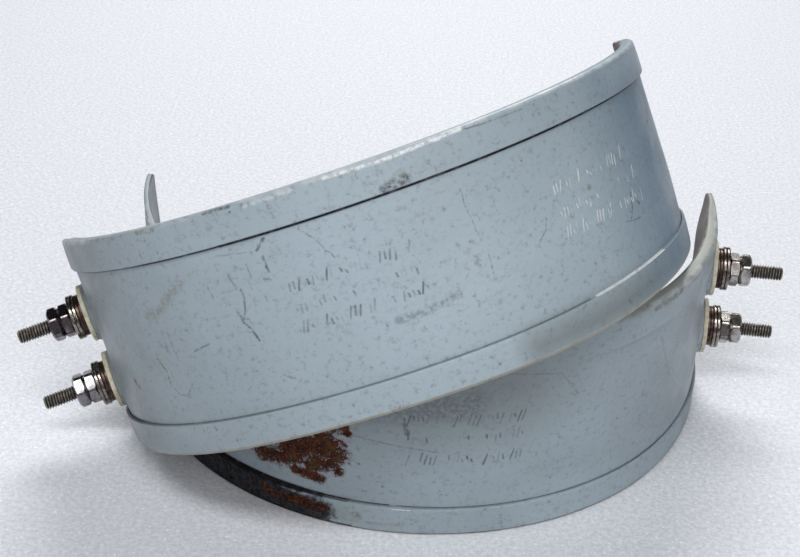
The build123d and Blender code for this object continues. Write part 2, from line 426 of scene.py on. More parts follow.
def make_stud(half, letter):
    """Rod with a cut helical thread from the boss to its chamfered tip."""
    height = STUD_HEIGHTS[letter]
    segments, per_pitch = 40, 14
    low, high, tip_chamfer = BOSS_FACE - 1.8, STUD_TIP, 0.55
    rows = int((high - low) / THREAD_PITCH * per_pitch)
    points, section = [], []
    for row in range(rows + 1):
        out = low + (high - low) * row / rows
        cone = STUD_RADIUS - max(0.0, tip_chamfer - (high - out))
        for k in range(segments):
            turn = 2 * math.pi * k / segments
            radius = STUD_RADIUS - THREAD_DEPTH * thread_depth(out / THREAD_PITCH - k / segments)
            radius = min(radius, cone)
            points.append((out, radius * math.sin(turn), height + radius * math.cos(turn)))
            section.append(((cone - radius) / THREAD_DEPTH, 0))
    faces = tube_faces(rows + 1, segments)
    name = f"{half}_threaded_stud_{letter}"
    return make_object(name, points, faces, half, half + "_half", 30, {"section_mm": section})


def make_nut(half, letter, name, low, turn_degrees):
    """Hexagon nut: cone-cut corners, a washer face, a countersunk hole."""
    height = STUD_HEIGHTS[letter]
    segments = 120
    apothem = NUT_FLATS / 2
    face = apothem * NUT_FACE
    corner = apothem / math.cos(math.radians(30)) - NUT_CORNER_LOSS
    slope = math.tan(math.radians(NUT_CHAMFER))
    rows = [[] for _ in range(10)]
    for k in range(segments):
        turn = 2 * math.pi * k / segments
        sector = (math.degrees(turn) + 30) % 60 - 30
        edge = min(apothem / math.cos(math.radians(sector)), corner)
        cut = max(0.0, edge - face) * slope + 0.04
        inner = edge - 0.05
        section = [
            (NUT_BORE, low + 0.35),
            (NUT_BORE + 0.35, low),
            (face, low),
            (inner, low + cut - 0.03),
            (edge, low + cut),
            (edge, low + NUT_HEIGHT - cut),
            (inner, low + NUT_HEIGHT - cut + 0.03),
            (face, low + NUT_HEIGHT),
            (NUT_BORE + 0.35, low + NUT_HEIGHT),
            (NUT_BORE, low + NUT_HEIGHT - 0.35),
        ]
        angle = turn + math.radians(turn_degrees)
        for row, (reach, out) in zip(rows, section):
            row.append((out, reach * math.sin(angle), height + reach * math.cos(angle)))
    points = [point for row in rows for point in row]
    faces = grid_faces(len(rows), segments, wrap_rows=True, wrap_columns=True)
    return make_object(name, points, faces, half, f"{half}_nuts_{letter}", 22)


def make_washer(half, letter, name, body, low, high):
    outline = ring_outline(WASHER_BORE, WASHER_RADIUS, low, high - FACE_GAP, WASHER_EDGE)
    return turned(f"{half}_{name}_{letter}", half, letter, body, outline)


def make_mica_disc(half, letter):
    outline = ring_outline(MICA_BORE, MICA_RADIUS, BOSS_FACE, MICA_TOP - FACE_GAP, 0.3)
    return turned(f"{half}_mica_disc_{letter}", half, letter, half + "_half", outline)


def seat_outline():
    """Two thin washers pressed together: one closed outline with a groove between them."""
    middle, reach, edge = (MICA_TOP + SEAT_TOP) / 2, SEAT_RADIUS, 0.2
    outline = [(WASHER_BORE, MICA_TOP)]
    for low, high in ((MICA_TOP, middle), (middle, SEAT_TOP - FACE_GAP)):
        outline += arc_points((reach - edge, low + edge), edge, -90, 0, 5)
        outline += arc_points((reach - edge, high - edge), edge, 0, 90, 5)
        if high == middle:
            outline += [(reach - 0.6, middle - 0.02), (reach - 0.6, middle + 0.02)]
    return outline + [(WASHER_BORE, SEAT_TOP - FACE_GAP)]


def make_terminal(half, letter, turns):
    """The pieces on one stud, by the name of the plain part that each stands for."""
    shell = half + "_half"
    rider = f"{half}_clamp_washer_{letter}"
    hex_name, lock_name = f"{half}_hex_nut_{letter}", f"{half}_lock_nut_{letter}"
    stands_for = {
        "mica_washer": make_mica_disc(half, letter),
        "seat_washer": turned(f"{half}_seat_discs_{letter}", half, letter, shell, seat_outline()),
        "flat_washer": make_washer(half, letter, "steel_washer", shell, SEAT_TOP, FLAT_TOP),
        "clamp_washer": make_washer(half, letter, "lug_washer", rider, FLAT_TOP, CLAMP_TOP),
        "stud": make_stud(half, letter),
        "inner_nut": make_nut(half, letter, hex_name, CLAMP_TOP, turns[0]),
        "outer_nut": make_nut(half, letter, lock_name, CLAMP_TOP + NUT_HEIGHT, turns[1]),
    }
    for node, piece in stands_for.items():
        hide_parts(f"{half}_{node}_{letter}")
    return stands_for


# ---- build ----
PLIES = ("inner_mica", "outer_mica", "core_strip_a", "core_strip_b", "resistance_ribbon")
# Degrees that the inner and the outer nut of each terminal are turned by
NUT_TURNS = {
    ("lower", "a"): (47, 34),
    ("lower", "b"): (1, 39),
    ("upper", "a"): (38, 36),
    ("upper", "b"): (4, 4),
}
pieces = {}
for seed, half in enumerate(HALVES):
    pieces[half, "sheath"] = make_sheath(half, seed)
    pieces[half, "cover"] = make_cover(half)
    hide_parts(half + "_sheath")
    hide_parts(half + "_cover")
    for node in PLIES:
        pieces[half, node] = make_bent_ply(half, node)
        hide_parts(f"{half}_{node}")

for (half, letter), turns in NUT_TURNS.items():
    for node, piece in make_terminal(half, letter, turns).items():
        pieces[half, node, letter] = piece


# ---- marks on the paint ----
# Points are millimetres along the arc from the terminals' end, and across the band in
# the half's own frame. A stroke is (points, half width, soft edge, strength).
UPPER_MARKS = {
    "grime": [
        ([(93, 59.6), (100.2, 59.5)], 0.25, 0.3, 0.7),
        ([(100, 58.3)], 0.2, 0.2, 0.8),
        ([(105.6, 50), (102.9, 47.8)], 0.22, 0.35, 0.7),
        ([(103.9, 45.9), (103.9, 42.2)], 0.2, 0.35, 0.75),
        ([(102, 41), (103.9, 40.1)], 0.12, 0.3, 0.6),
        ([(76.3, 53.4)], 0.2, 0.25, 0.8),
        ([(181.6, 42.2)], 0.2, 0.3, 0.7),
        ([(129.5, 22.2), (135.9, 22), (145.2, 23.1)], 0.3, 1.2, 0.4),
        ([(136.4, 52.2), (142, 53)], 0.6, 1.2, 0.85),
        ([(158, 59), (164, 58.5), (175, 58.3)], 0.05, 0.22, 0.6),
    ],
    "scratch": [
        ([(95.3, 39.8), (95.4, 37.6), (95, 35.6), (93.1, 32.4)], 0.12, 0.3, 0.8),
        ([(92.4, 34.7), (92.9, 32.1), (94.5, 30), (95.4, 26.9)], 0.16, 0.35, 0.95),
        ([(99.1, 45.3), (99.2, 42.2)], 0.1, 0.3, 0.6),
        ([(93.2, 44.6), (94.2, 41.1)], 0.1, 0.3, 0.5),
        ([(91.9, 49.1), (100.1, 48)], 0.06, 0.25, 0.4),
        ([(75.5, 27.6), (80.8, 28.7)], 0.1, 0.3, 0.7),
        ([(86.5, 42.5), (87.1, 39.5)], 0.1, 0.35, 0.4),
        ([(114.4, 49.8), (116.9, 47), (118.8, 43.6), (120.3, 40.9)], 0.08, 0.25, 0.55),
        ([(62.1, 23.7), (62, 19.5), (64.1, 16.9), (67.3, 16.5), (70.2, 19.4)], 0.08, 0.25, 0.65),
        ([(65.9, 34), (66.2, 27.6)], 0.06, 0.3, 0.4),
        ([(68.1, 33.5), (68.3, 25.9)], 0.06, 0.3, 0.4),
        ([(153.5, 46.2), (153.4, 40.8), (154.3, 34.2)], 0.06, 0.25, 0.5),
        ([(155.2, 29.2), (154.7, 23.3)], 0.06, 0.25, 0.5),
        ([(172.7, 31.9), (171.6, 29.3), (169, 27.4)], 0.08, 0.25, 0.6),
        ([(98.5, 17.2), (101, 15.7)], 0.12, 0.35, 0.5),
    ],
    "olive": [
        ([(63.1, 38.4), (68.9, 39.3), (72.2, 41.5), (75.9, 43.5), (78.3, 44.6)], 0.5, 1.8, 0.45),
        ([(60.1, 26.7), (62.2, 23.4)], 0.2, 0.45, 0.8),
        ([(70.2, 55.1), (70.1, 52.9)], 0.12, 0.3, 0.6),
        ([(53.3, 59.4), (62, 59.2)], 0.3, 0.6, 0.5),
        ([(71.2, 59.3), (77.1, 59)], 0.3, 0.5, 0.75),
        ([(188.6, 34.1)], 0.5, 0.6, 0.7),
        ([(138.5, 53), (141.5, 54.6)], 0.5, 1.2, 0.35),
        ([(28, 8), (28, 52)], 0.4, 1.6, 0.25),
    ],
    "rust": [([(42.6, 21), (44.2, 18.9)], 0.45, 0.5, 0.95)],
    "navy": [
        ([(204.3, 27.7), (203.4, 24.5), (201.2, 21.8)], 0.14, 0.3, 0.8),
        ([(206.2, 24.7), (206.9, 24)], 0.25, 0.35, 0.75),
        ([(198.7, 21.7), (202, 20.8), (205.4, 20.6)], 0.08, 0.3, 0.55),
    ],
    # White strokes: painted highlights, glints where the worn top rim and its metal catch the light
    "bare": [
        ([(124, 59.2), (131, 58.9), (138, 58.7), (147, 59.0), (158, 59.3)], 0.28, 0.4, 1.0),
        ([(104, 58.6), (116, 58.9)], 0.2, 0.5, 0.4),
        ([(187.7, 31.5), (187.3, 29.8)], 0.12, 0.2, 0.8),
    ],
}
LOWER_MARKS = {
    "grime": [
        ([(146.1, 47.5), (146.9, 47.6)], 0.2, 0.3, 0.8),
        ([(141.8, 45.1)], 0.3, 0.4, 0.7),
        ([(148.2, 38.8)], 0.25, 0.4, 0.6),
        ([(136.6, 24.4), (136, 27.6)], 0.4, 0.7, 0.6),
        ([(212, 26), (120, 18)], 2.0, 5.0, 0.4),
        ([(54, 1.4), (66, 1.8)], 0.4, 0.9, 0.6),
        ([(43, 1.6), (47, 1.5)], 0.2, 0.6, 0.5),
    ],
    "scratch": [
        ([(170, 32), (150, 30), (128, 33)], 0.1, 0.35, 0.45),
        ([(120, 8), (96, 12), (90, 20)], 0.08, 0.3, 0.4),
        ([(60, 14), (52, 30)], 0.08, 0.3, 0.4),
    ],
    "olive": [
        ([(149.1, 54.9), (147.6, 55.2)], 0.5, 0.9, 0.65),
        ([(145.5, 57), (137.3, 56.8)], 0.25, 0.7, 0.4),
        ([(157, 55.5), (149, 56.5)], 1.0, 2.6, 0.35),
        ([(90, 59.7), (20, 59.7)], 0.2, 0.5, 0.5),
    ],
}
# Dirt and painted shadow under the lips' edges, painted highlights standing for bare metal, and browned edges
# along the folds: strokes too, but they run straight.
UPPER_SEAMS = {
    # Dark lines: grime, and painted shadow in the gap under the lip's edge
    "grime": [
        ([(2, 51.2), (70, 51.2)], 0.12, 0.3, 0.8),
        ([(66, 51.2), (98, 51.15)], 0.16, 0.3, 0.95),
        ([(94, 51.15), (196, 51.15)], 0.3, 0.25, 1.0),
        ([(192, 51.15), (262, 51.2)], 0.2, 0.28, 1.0),
        ([(2, 8.8), (38, 8.8)], 0.1, 0.35, 0.6),
        ([(36, 8.8), (178, 8.8)], 0.05, 0.2, 0.62),
    ],
    "scratch": [([(226, 8.75), (262, 8.75)], 0.05, 0.2, 0.6)],
    "tan": [([(20, 0.55), (236, 0.55)], 0.24, 0.35, 0.8)],
    # White line: painted highlight, a glint along the fold's edge
    "bare": [([(180, 8.8), (212, 8.8)], 0.16, 0.14, 1.0), ([(211, 8.8), (234, 8.8)], 0.03, 0.14, 0.6)],
}
LOWER_SEAMS = {
    # Dark lines: grime, and painted shadow in the gap under the lip's edge
    "grime": [
        ([(220, 51.3), (164, 51.3)], 0.5, 0.4, 1.0),
        ([(168, 51.25), (158, 51.15)], 0.3, 0.3, 0.97),
        ([(160, 51.15), (151, 51.1)], 0.18, 0.25, 0.97),
        ([(153, 51.1), (140, 51.05)], 0.1, 0.2, 0.92),
        ([(138, 51.05), (20, 51.05)], 0.06, 0.14, 0.85),
        ([(220, 59.5), (150, 59.4)], 0.4, 0.5, 0.95),
        ([(152, 59.6), (40, 59.6)], 0.2, 0.4, 0.7),
    ],
    # White line: painted highlight, a glint along the fold's edge
    "bare": [([(139, 51.6), (134, 51.6)], 0.04, 0.1, 0.9)],
}
# Corroded areas, and the lower lip's soot, painted darker as shadow where it lies under the upper half: (points,
# reach), strongest on the line and gone at the reach.
UPPER_RUST = [([(249, 3), (262, 6)], 3.0)]
LOWER_RUST = [
    ([(177, 44), (166, 41.5)], 4.2),
    ([(168, 39), (157, 35)], 7.0),
    ([(158, 33), (154.5, 37)], 5.6),
    ([(166, 45.5), (159, 46.3)], 2.6),
    ([(153.9, 42.5)], 2.6),
    ([(151.6, 29.8)], 1.9),
    ([(170, 32), (155, 26)], 6.5),
    ([(162, 42.5), (156, 40.5)], 3.6),
    ([(168, 55), (158, 54.6)], 2.5),
    ([(176, 54), (171, 55.5)], 1.4),
]
# Soot on the lower's bottom lip, painted near-black also as the shadow of the upper half over it
LOWER_SOOT_AND_SHADOW = [([(216, 55.8), (172, 55.8)], 11.0), ([(176, 55.7), (159, 56.2)], 6.4)]
# Stamped tallies in place of the maker's lettering: (corner, size, cell, kind).
UPPER_STAMPS = [
    ((107, 24.4), (33.6, 15.6), (1.2, 5.2), "dark"),
    # light: pale ticks as painted highlights, stamped marks catching the light
    ((177, 23.2), (33, 17.1), (1.1, 5.7), "light"),
]
LOWER_STAMPS = [((105, 19.4), (32.4, 19.2), (1.2, 6.4), "dark")]
# Large areas of another tone: (tone, strength, points, reach).
# faded: painted light where the shell faces the light, partly paint fade; dirty: painted shade on the left end and
# bottom lip, turned from the light; cool: painted shade, bluish, at the right end
UPPER_TINTS = [
    ("faded", 0.85, [(122, 42), (135, 20), (180, 28)], 75),
    ("dirty", 0.7, [(6, 5), (6, 55)], 55),
    ("dirty", 0.75, [(160, 3.5), (225, 3.5)], 8),
    ("cool", 0.65, [(222, 8), (222, 46)], 34),
    ("faded", 0.5, [(210, 57), (240, 57)], 7),
]
# faded: painted light on the lit middle; dirty: painted shadow of the upper half; stained: a real stain
LOWER_TINTS = [
    ("faded", 0.5, [(138, 36), (90, 30)], 42),
    ("faded", 0.65, [(40, 57), (100, 57)], 16),
    ("dirty", 0.7, [(150, 16), (110, 12)], 26),
    ("stained", 0.85, [(0, -1), (75, -1)], 3.4),
]
# painted_end: the paint runs over the inside at the end away from the terminals.
WEAR = {
    "lower": {
        "marks": LOWER_MARKS, "seams": LOWER_SEAMS, "stamps": LOWER_STAMPS, "tints": LOWER_TINTS,
        "rust": LOWER_RUST, "soot": LOWER_SOOT_AND_SHADOW, "painted_end": True,
    },
    "upper": {
        "marks": UPPER_MARKS, "seams": UPPER_SEAMS, "stamps": UPPER_STAMPS, "tints": UPPER_TINTS,
        "rust": UPPER_RUST, "soot": [], "painted_end": False,
    },
}


# ---- materials ----
class Graph:
    """The nodes of one material, with a short call for each kind used here."""

    def __init__(self, name):
        self.material = bpy.data.materials.new(name)
        self.material.use_nodes = True
        self.tree = self.material.node_tree
        self.shader = self.tree.nodes["Principled BSDF"]

    def put(self, socket, value):
        if isinstance(value, bpy.types.NodeSocket):
            self.tree.links.new(value, socket)
        else:
            socket.default_value = value

    def add(self, kind, values, settings=None):
        """A node with its inputs given by index or by name."""
        node = self.tree.nodes.new(kind)
        for name, value in (settings or {}).items():
            setattr(node, name, value)
        for key, value in values.items():
            self.put(node.inputs[key], value)
        return node

    def math(self, operation, *values):
        return self.add("ShaderNodeMath", dict(enumerate(values)), {"operation": operation}).outputs[0]

    def minus(self, value, other):
        return self.math("SUBTRACT", value, other)

    def apart(self, value, other):
        return self.math("ABSOLUTE", self.minus(value, other))

    def fold(self, operation, values):
        """Several values joined two by two."""
        result = values[0]
        for value in values[1:]:
            result = self.math(operation, result, value)
        return result

    def times(self, *values):
        return self.fold("MULTIPLY", values)

    def vector(self, operation, *values, output=0):
        node = self.add("ShaderNodeVectorMath", dict(enumerate(values)), {"operation": operation})
        return node.outputs[output]

    def scaled(self, vector, factor):
        """A vector times a number, or times a vector axis by axis."""
        if isinstance(factor, tuple):
            return self.vector("MULTIPLY", vector, factor)
        node = self.add("ShaderNodeVectorMath", {0: vector, "Scale": factor}, {"operation": "SCALE"})
        return node.outputs[0]

    def step(self, value, low, high, bottom=0.0, top=1.0):
        """Smooth step from bottom at low to top at high; low may be the larger."""
        values = {"Value": value, "From Min": low, "From Max": high, "To Min": bottom, "To Max": top}
        return self.add("ShaderNodeMapRange", values, {"interpolation_type": "SMOOTHSTEP"}).outputs[0]

    def noise(self, place, size, detail=2.0, roughness=0.5, output=0):
        """Noise whose features are about size millimetres wide."""
        values = {"Vector": place, "Scale": 1 / size, "Detail": detail, "Roughness": roughness}
        return self.add("ShaderNodeTexNoise", values).outputs[output]

    def mix(self, share, under, over):
        values = {0: share, 6: under, 7: over}
        return self.add("ShaderNodeMix", values, {"data_type": "RGBA"}).outputs[2]

    def most(self, values):
        return self.fold("MAXIMUM", values)

    def parts(self, vector):
        """The three numbers of a vector."""
        return self.add("ShaderNodeSeparateXYZ", {0: vector}).outputs

    def layer(self, name):
        return self.add("ShaderNodeUVMap", {}, {"uv_map": name}).outputs[0]

    def object_mm(self):
        place = self.tree.nodes.new("ShaderNodeTexCoord").outputs["Object"]
        return self.scaled(place, 1 / MM)

    def bump(self, height, depth_mm, strength=1.0):
        values = {"Strength": strength, "Distance": depth_mm * MM, "Height": height}
        self.put(self.shader.inputs["Normal"], self.add("ShaderNodeBump", values).outputs[0])

    def finish(self, colour, roughness, metallic=0.0):
        self.put(self.shader.inputs["Base Color"], colour)
        self.put(self.shader.inputs["Roughness"], roughness)
        self.put(self.shader.inputs["Metallic"], metallic)
        return self.material

    def distance(self, place, start, stop=None):
        """Distance from place to a point, or to the straight line between two."""
        to_place = self.vector("SUBTRACT", place, (*start, 0))
        if stop is None:
            return self.vector("LENGTH", to_place, output=1)
        span = np.subtract(stop, start)
        along = self.vector("DOT_PRODUCT", to_place, (*(span / span.dot(span)), 0), output=1)
        along = self.math("MINIMUM", self.math("MAXIMUM", along, 0.0), 1.0)
        nearest = self.scaled((*span, 0), along)
        return self.vector("DISTANCE", to_place, nearest, output=1)

    def path_distance(self, place, points):
        legs = [self.distance(place, *leg) for leg in zip(points, points[1:])]
        return self.fold("MINIMUM", legs or [self.distance(place, points[0])])

    def strokes(self, place, strokes):
        """Strength of a set of drawn strokes."""
        masks = []
        for points, half_width, soft, strength in strokes:
            away = self.path_distance(place, points)
            masks.append(self.step(away, half_width + soft, half_width * 0.6, 0.0, strength))
        return self.most(masks)

    def areas(self, place, areas):
        """1 on each area's line, falling evenly to 0 at its reach."""
        shares = []
        for points, reach in areas:
            away = self.path_distance(place, points)
            shares.append(self.minus(1.0, self.math("DIVIDE", away, reach)))
        return self.math("MAXIMUM", self.most(shares), 0.0)

    def tallies(self, place, corner, size, cell):
        """Rows of short stamped ticks, uneven in height, lean and depth, some left out."""
        local = self.vector("SUBTRACT", place, (*corner, 0))
        cells = self.vector("DIVIDE", local, (*cell, 1))
        index = self.vector("FLOOR", cells)
        draw = self.add("ShaderNodeTexWhiteNoise", {"Vector": index}, {"noise_dimensions": "2D"})
        chance = draw.outputs[0]
        tilt, shift, press = self.parts(draw.outputs[1])
        x, y, _ = self.parts(self.vector("FRACTION", cells))
        up = self.minus(y, self.step(shift, 0.0, 1.0, 0.4, 0.6))
        lean = self.times(up, self.step(tilt, 0.1, 0.9, -1.3, 1.6))
        side = self.apart(self.minus(x, 0.5), lean)
        over = self.minus(self.math("ABSOLUTE", up), self.step(chance, 0.1, 1.0, 0.08, 0.28))
        tick = self.times(self.step(side, 0.3, 0.1), self.step(over, 0.05, -0.02))
        tick = self.times(tick, self.step(press, 0.15, 0.9))
        i, j, _ = self.parts(index)
        for value, count in ((i, size[0] / cell[0]), (j, size[1] / cell[1])):
            middle = (round(count) - 1) / 2
            off = self.apart(value, middle)
            tick = self.times(tick, self.math("LESS_THAN", off, middle + 0.4))
        return tick


PAINT_DARK = (0.255, 0.31, 0.345, 1)
PAINT_LIGHT = (0.315, 0.382, 0.424, 1)
PAINT_GREEN = (0.262, 0.322, 0.318, 1)
PAINT_MAUVE = (0.3, 0.325, 0.395, 1)
PAINT_SPECK = (0.17, 0.18, 0.17, 1)
PAINT_RUBBED = (0.55, 0.6, 0.61, 1)
AREA_TONES = {
    # faded is painted light, dirty and cool are painted shade, stained is a real stain
    "faded": (0.435, 0.53, 0.595, 1),
    "dirty": (0.17, 0.195, 0.19, 1),
    "cool": (0.08, 0.17, 0.27, 1),
    "stained": (0.3, 0.29, 0.21, 1),
}
INSIDE_DARK = (0.21, 0.19, 0.19, 1)
INSIDE_LIGHT = (0.32, 0.3, 0.285, 1)
EDGE_BROWN = (0.1, 0.075, 0.05, 1)
RUST_DARK = (0.018, 0.009, 0.009, 1)
RUST_ORANGE = (0.14, 0.04, 0.013, 1)
RUST_BROWN = (0.1, 0.055, 0.02, 1)
RUST_HALO = (0.15, 0.125, 0.14, 1)
# Soot tones, near-black also as painted shadow under the upper half
SOOT_SHADOW_BLACK = (0.003, 0.003, 0.005, 1)
SOOT_SHADOW_BROWN = (0.02, 0.009, 0.008, 1)
# Stamped tallies: (tone, strength where most faded, strength where least); the light tone is a painted highlight
STAMP_TONES = {
    "light": ((0.72, 0.77, 0.8, 1), 0.5, 1.0),
    "dark": ((0.1, 0.11, 0.11, 1), 0.25, 0.8),
}
PAINT_ROUGHNESS = 0.42
MARK_TONES = {
    # grime: near-black, for grime and for painted shadow in the seams under the lips
    "grime": (0.022, 0.022, 0.028, 1),
    "scratch": (0.085, 0.105, 0.13, 1),
    "olive": (0.17, 0.155, 0.09, 1),
    "tan": (0.31, 0.27, 0.18, 1),
    "navy": (0.02, 0.03, 0.075, 1),
    "rust": (0.17, 0.035, 0.014, 1),
    # bare: white, for painted highlights on worn edges and for bare metal
    "bare": (0.82, 0.85, 0.86, 1),
}


class PaintGraph(Graph):
    """A painted shell's material, with the places and noises that its steps share."""

    def __init__(self, name):
        super().__init__(name)
        self.surface = self.layer("surface_mm")
        self.depth = self.parts(self.layer("section_mm"))[0]
        self.along, self.height, _ = self.parts(self.surface)
        layers = self.add("ShaderNodeCombineXYZ", {2: self.depth}).outputs[0]
        self.place = self.vector("ADD", self.surface, layers)
        self.outside = self.step(self.depth, 1.9, 2.7)
        self.clouds = self.noise(self.place, 38, 3, 0.55)
        self.patches = self.noise(self.place, 7, 4, 0.62)
        self.tints = self.noise(self.place, 3.2, 2, 0.55)


def coat(g, wear):
    """The paint: clouded, lighter in places as painted light with some fading, darker in places as painted shade,
    finely rubbed and specked.
    """
    grain = g.noise(g.place, 0.55, 2, 0.6)
    rub = g.noise(g.scaled(g.place, (0.18, 1.0, 1.0)), 1.1, 3, 0.6)
    colour = g.mix(g.step(g.clouds, 0.32, 0.68), PAINT_DARK, PAINT_LIGHT)
    colour = g.mix(g.step(g.patches, 0.5, 0.75, 0, 0.5), colour, PAINT_GREEN)
    colour = g.mix(g.step(g.tints, 0.52, 0.74, 0, 0.32), colour, PAINT_MAUVE)
    colour = g.mix(g.step(g.tints, 0.48, 0.28, 0, 0.28), colour, PAINT_GREEN)
    for tone, strength, points, reach in wear["tints"]:
        share = g.times(g.areas(g.surface, [(points, reach)]), strength)
        colour = g.mix(share, colour, AREA_TONES[tone])
    colour = g.mix(g.step(rub, 0.56, 0.74, 0, 0.16), colour, PAINT_DARK)
    colour = g.mix(g.step(grain, 0.35, 0.75, 0, 0.14), colour, PAINT_LIGHT)
    specks = g.step(g.noise(g.place, 0.6, 1), 0.73, 0.82)
    specks = g.times(specks, g.step(g.clouds, 0.5, 0.68, 0.0, 0.22))
    return g.mix(specks, colour, PAINT_SPECK)


def browned(g, wear, colour):
    """Old heat-browned inside face, and brown along the inner edge of both folds."""
    inside = g.step(g.depth, 0.55, 0.1)
    if wear["painted_end"]:
        unpainted = g.step(g.along, ARC_LENGTH - 14, ARC_LENGTH - 24, 0.25, 1.0)
        inside = g.times(inside, unpainted)
    brown = g.mix(g.step(g.patches, 0.35, 0.7), INSIDE_DARK, INSIDE_LIGHT)
    colour = g.mix(inside, colour, brown)
    edge = g.step(g.apart(g.depth, 0.5), 0.55, 0.1, 0.0, 0.75)
    edge = g.times(edge, g.step(g.noise(g.place, 4, 3), 0.3, 0.6))
    return g.mix(edge, colour, EDGE_BROWN), inside


def rubbed(g, colour):
    """Paint rubbed thin on the outer corner of both folds."""
    from_rim = g.minus(WIDTH / 2, g.apart(g.height, WIDTH / 2))
    corner = g.times(g.step(from_rim, 1.3, 0.5), g.step(g.depth, 2.3, 3.2))
    thin = g.step(g.noise(g.place, 5, 4, 0.7), 0.42, 0.62, 0.1, 0.75)
    return g.mix(g.times(corner, thin), colour, PAINT_RUBBED)


def drawn(g, colour, place, marks, share):
    """Strokes of several tones over the colour, and where each tone lies."""
    masks = {}
    for tone, strokes in marks.items():
        masks[tone] = g.times(g.strokes(place, strokes), share)
        colour = g.mix(masks[tone], colour, MARK_TONES[tone])
    return colour, masks


def marked(g, wear, colour):
    """Marks, broken up and wandering a little, then seams, which run straight and hold painted shadow and painted
    highlights.
    """
    wander = g.vector("SUBTRACT", g.noise(g.place, 2.2, 2, output=1), (0.5, 0.5, 0.5))
    shifted = g.vector("ADD", g.surface, g.scaled(wander, (0.9, 0.55, 0.0)))
    broken = g.times(g.step(g.noise(g.place, 1.1, 3, 0.65), 0.34, 0.6, 0.12, 1.0), g.outside)
    colour, marks = drawn(g, colour, shifted, wear["marks"], broken)
    uneven = g.times(g.step(g.noise(g.place, 2.6, 2), 0.25, 0.5, 0.72, 1.0), g.outside)
    colour, seams = drawn(g, colour, g.surface, wear["seams"], uneven)
    return colour, marks["scratch"], seams["grime"]


def stamped(g, wear, colour):
    """The stamped tallies, unevenly faded."""
    ticks = []
    for corner, size, cell, kind in wear["stamps"]:
        tone, faintest, strongest = STAMP_TONES[kind]
        tick = g.times(g.tallies(g.surface, corner, size, cell), g.outside)
        fade = g.step(g.noise(g.place, 6, 2), 0.35, 0.62, faintest, strongest)
        colour = g.mix(g.times(tick, fade), colour, tone)
        ticks.append(tick)
    return colour, g.most(ticks)


def corroded(g, wear, colour):
    """A stained halo, soot with painted shadow on the lower lip, and dense dark crumbs with orange between them.
    """
    crumbs = g.noise(g.place, 0.9, 5, 0.75)
    ragged = g.times(g.minus(g.noise(g.place, 1.7, 6, 0.8), 0.5), 2.0)
    reached = g.math("ADD", g.areas(g.surface, wear["rust"]), ragged)
    halo = g.times(g.step(reached, 0.0, 0.45, 0.0, 0.6), g.outside)
    colour = g.mix(halo, colour, RUST_HALO)
    soot = 0.0
    if wear["soot"]:
        soot_and_shadow_reach = g.areas(g.surface, wear["soot"])
        soot_and_shadow_reach = g.step(g.math("ADD", soot_and_shadow_reach, g.times(ragged, 0.7)), 0.1, 0.6)
        lip = g.times(g.step(g.height, 51.2, 51.5), g.outside)
        soot = g.times(soot_and_shadow_reach, lip, g.step(crumbs, 0.3, 0.75, 1.0, 0.85))
        black = g.mix(g.step(g.tints, 0.4, 0.62), SOOT_SHADOW_BLACK, SOOT_SHADOW_BROWN)
        colour = g.mix(soot, colour, black)
    packed = g.step(g.math("ADD", crumbs, g.times(reached, 0.22)), 0.5, 0.6)
    rust = g.times(g.step(reached, 0.25, 0.5), packed, g.outside)
    crust = g.mix(g.step(crumbs, 0.44, 0.62), RUST_DARK, RUST_ORANGE)
    crust = g.mix(g.step(g.noise(g.place, 4, 3), 0.55, 0.7, 0, 0.7), crust, RUST_BROWN)
    return g.mix(rust, colour, crust), rust, soot, g.times(rust, crumbs)


def paint_material(name, wear):
    """Worn pale blue-grey paint over steel."""
    g = PaintGraph(name)
    colour, inside = browned(g, wear, coat(g, wear))
    # darkened holds the seams' dark lines: grime, and painted shadow under the lips
    colour, scratches, darkened = marked(g, wear, rubbed(g, colour))
    colour, stamps = stamped(g, wear, colour)
    colour, rust, soot, crust = corroded(g, wear, colour)
    relief = g.times(g.noise(g.place, 0.9, 3, 0.6), 0.25)
    relief = g.math("ADD", relief, crust)
    relief = g.minus(relief, g.times(stamps, 1.2))
    relief = g.minus(relief, g.times(scratches, 0.4))
    g.bump(relief, 0.12, 0.8)
    gloss = g.step(g.patches, 0.3, 0.7, PAINT_ROUGHNESS - 0.07, PAINT_ROUGHNESS + 0.1)
    gloss = g.math("MAXIMUM", gloss, g.times(g.most([rust, inside, soot]), 0.85))
    sheen = g.step(g.most([rust, darkened, soot]), 0.2, 0.9, 0.5, 0.1)
    g.put(g.shader.inputs["Specular IOR Level"], sheen)
    return g.finish(colour, gloss)


def nickel_material(name, bright, dark, share):
    """Tarnished nickel plate: brown film in patches and fine turning marks."""
    g = Graph(name)
    place = g.object_mm()
    film = g.noise(place, 2.4, 4, 0.6)
    colour = g.mix(g.step(film, share - 0.16, share + 0.16), bright, dark)
    colour = g.mix(g.step(g.noise(place, 0.7, 2), 0.6, 0.75, 0, 0.6), colour, (0.05, 0.035, 0.03, 1))
    g.bump(g.noise(place, 0.35, 3, 0.6), 0.02, 0.5)
    return g.finish(colour, g.step(film, 0.3, 0.7, 0.16, 0.34), 1.0)


def thread_material():
    """Bright worn crests and darker roots of the stud's thread."""
    g = Graph("worn_thread")
    place = g.object_mm()
    root = g.parts(g.layer("section_mm"))[0]
    film = g.noise(place, 1.2, 3, 0.6)
    colour = g.mix(g.step(film, 0.35, 0.65), (0.42, 0.39, 0.35, 1), (0.2, 0.18, 0.16, 1))
    colour = g.mix(g.step(root, 0.25, 0.85, 0, 0.8), colour, (0.03, 0.026, 0.028, 1))
    g.bump(film, 0.02, 0.4)
    return g.finish(colour, g.step(film, 0.3, 0.7, 0.36, 0.54), 1.0)


